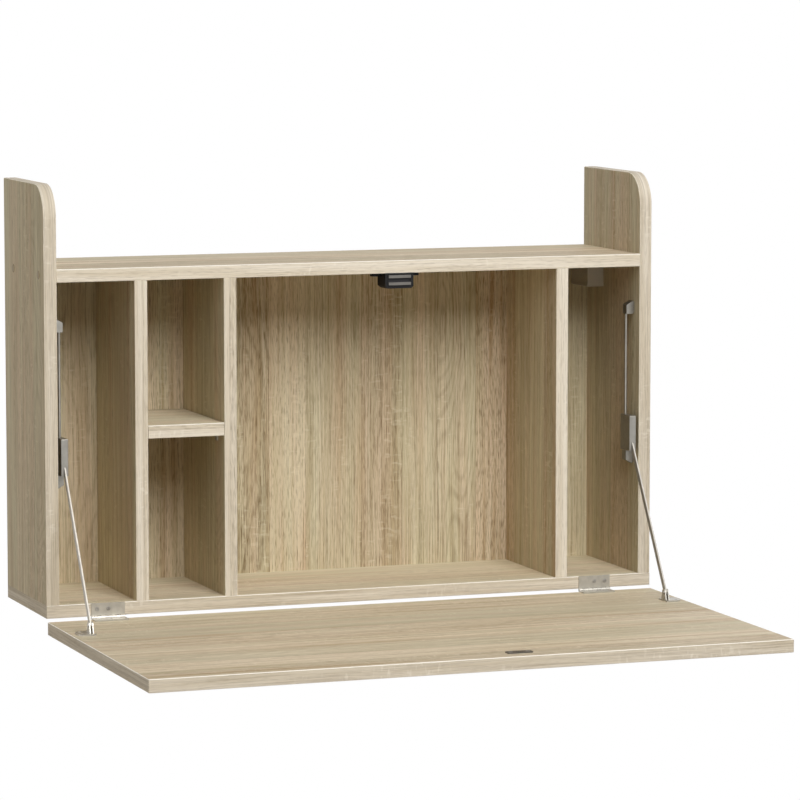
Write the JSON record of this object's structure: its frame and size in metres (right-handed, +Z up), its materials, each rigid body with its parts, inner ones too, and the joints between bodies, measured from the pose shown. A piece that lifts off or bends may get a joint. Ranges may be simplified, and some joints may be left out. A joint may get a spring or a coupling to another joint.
{
  "type": "fold down wall desk",
  "caption": "Wall-hung oak cabinet with open tray top, pigeonholes behind a drop-down leaf that makes the desk, held by sliding stays and a magnetic catch.",
  "frame": {"origin": "middle of the rectangle of four wall screws, on the wall's surface", "axes": "+X to the right as one faces the desk, +Y into the wall, +Z up"},
  "size_m": [0.9016, 0.692, 0.617],
  "materials": {
    "oak_upright": "satin",
    "oak_level": "satin",
    "oak_back": "satin",
    "satin_nickel": "satin",
    "pin_steel": "satin",
    "rail_steel": "satin",
    "stay_casting": "satin",
    "support_steel": "satin",
    "zinc_steel": "satin",
    "pole_steel": "satin",
    "ferrite": "matte",
    "catch_plastic": "matte",
    "hanger_plastic": "matte",
    "cap_plastic": "matte"
  },
  "bodies": {
    "cabinet": {"left_side_panel": "oak_upright", "right_side_panel": "oak_upright", "left_divider": "oak_upright", "middle_divider": "oak_upright", "right_divider": "oak_upright", "top_shelf": "oak_level", "bottom_panel": "oak_level", "pigeonhole_shelf": "oak_level", "back_panel": "oak_back", "left_front_shelf_support": "support_steel", "left_front_cover_cap": "cap_plastic", "left_rear_shelf_support": "support_steel", "left_rear_cover_cap": "cap_plastic", "left_hinge_cabinet_plate": "satin_nickel", "left_hinge_pin": "pin_steel", "left_stay_rail": "rail_steel", "left_stay_upper_end": "stay_casting", "left_stay_lower_end": "stay_casting", "left_hanger_case": "hanger_plastic", "left_hanger_hook": "zinc_steel", "left_wall_plate": "zinc_steel", "right_front_shelf_support": "support_steel", "right_front_cover_cap": "cap_plastic", "right_rear_shelf_support": "support_steel", "right_rear_cover_cap": "cap_plastic", "right_hinge_cabinet_plate": "satin_nickel", "right_hinge_pin": "pin_steel", "right_stay_rail": "rail_steel", "right_stay_upper_end": "stay_casting", "right_stay_lower_end": "stay_casting", "right_hanger_case": "hanger_plastic", "right_hanger_hook": "zinc_steel", "right_wall_plate": "zinc_steel", "catch_housing": "catch_plastic", "catch_upper_pole": "pole_steel", "catch_lower_pole": "pole_steel", "catch_magnet": "ferrite"},
    "leaf": {"desk_leaf": "oak_level", "strike_plate": "satin_nickel", "left_hinge_leaf_plate": "satin_nickel", "left_leaf_bracket": "satin_nickel", "left_bracket_rivet": "pin_steel", "right_hinge_leaf_plate": "satin_nickel", "right_leaf_bracket": "satin_nickel", "right_bracket_rivet": "pin_steel"},
    "left_arm": {"left_arm": "satin_nickel"},
    "right_arm": {"right_arm": "satin_nickel"},
    "left_slider": {"left_slider_body": "stay_casting", "left_slider_cap": "stay_casting", "left_slider_pin": "pin_steel"},
    "right_slider": {"right_slider_body": "stay_casting", "right_slider_cap": "stay_casting", "right_slider_pin": "pin_steel"}
  },
  "joints": [
    {"name": "leaf_hinge", "type": "hinge", "parent": "cabinet", "child": "leaf", "pos_m": [0, -0.21, -0.441], "axis": [-1, 0, 0], "range_deg": [0, 90]},
    {"name": "left_arm_pivot", "type": "hinge", "parent": "leaf", "child": "left_arm", "pos_m": [-0.4225, -0.328, -0.431], "axis": [1, 0, 0], "range_deg": [0, 122]},
    {"name": "left_slider_pivot", "type": "hinge", "parent": "left_arm", "child": "left_slider", "pos_m": [-0.4225, -0.2, -0.226], "axis": [-1, 0, 0], "range_deg": [0, 32]},
    {"name": "right_arm_pivot", "type": "hinge", "parent": "leaf", "child": "right_arm", "pos_m": [0.4225, -0.328, -0.431], "axis": [1, 0, 0], "range_deg": [0, 122]},
    {"name": "right_slider_pivot", "type": "hinge", "parent": "right_arm", "child": "right_slider", "pos_m": [0.4225, -0.2, -0.226], "axis": [-1, 0, 0], "range_deg": [0, 32]}
  ],
  "couplings": [
    {"joint": "left_arm_pivot", "follows": "leaf_hinge", "ratio": 1.3553},
    {"joint": "left_slider_pivot", "follows": "leaf_hinge", "ratio": 0.35534},
    {"joint": "right_arm_pivot", "follows": "leaf_hinge", "ratio": 1.3553},
    {"joint": "right_slider_pivot", "follows": "leaf_hinge", "ratio": 0.35534}
  ]
}
